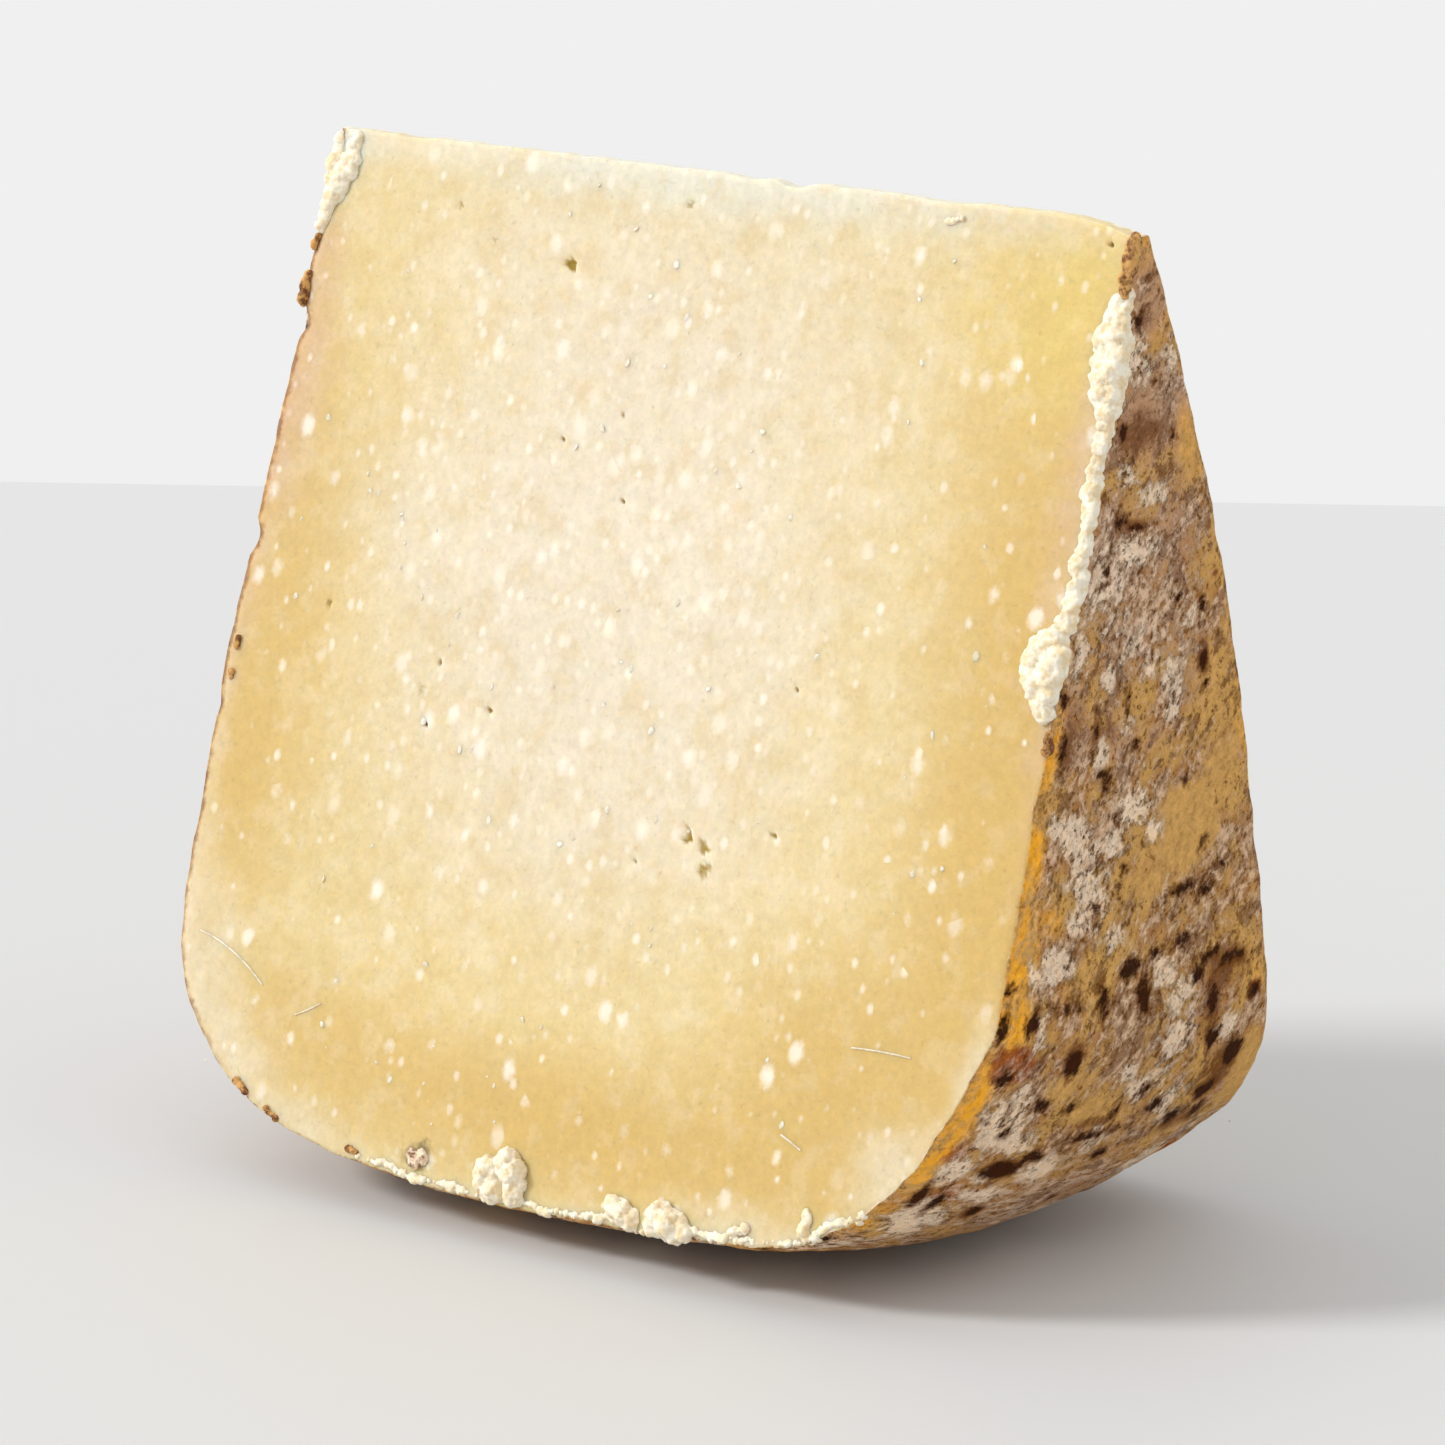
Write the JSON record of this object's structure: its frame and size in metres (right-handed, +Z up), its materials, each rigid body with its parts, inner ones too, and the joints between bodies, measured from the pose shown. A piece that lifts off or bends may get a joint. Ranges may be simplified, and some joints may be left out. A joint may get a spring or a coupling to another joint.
{
  "type": "cheese wedge",
  "caption": "Wedge of aged natural-rind cheese, cut from a wheel and standing on its rind edge with the thin edge on top.",
  "frame": {"origin": "on the level of the resting face, under the middle of the slice's box", "axes": "+Z up from the rind it stands on to the thin edge, +X along the wheel's axis, -Y out of the front cut"},
  "size_m": [0.098, 0.0552, 0.0984],
  "materials": {
    "cheese": "pale yellow hard cheese paste, smooth and slightly waxy",
    "rind": "dry mottled natural rind, ochre and brown with grey-white mould"
  },
  "bodies": {
    "root": {"cheese_wedge": "cheese"}
  },
  "joints": []
}
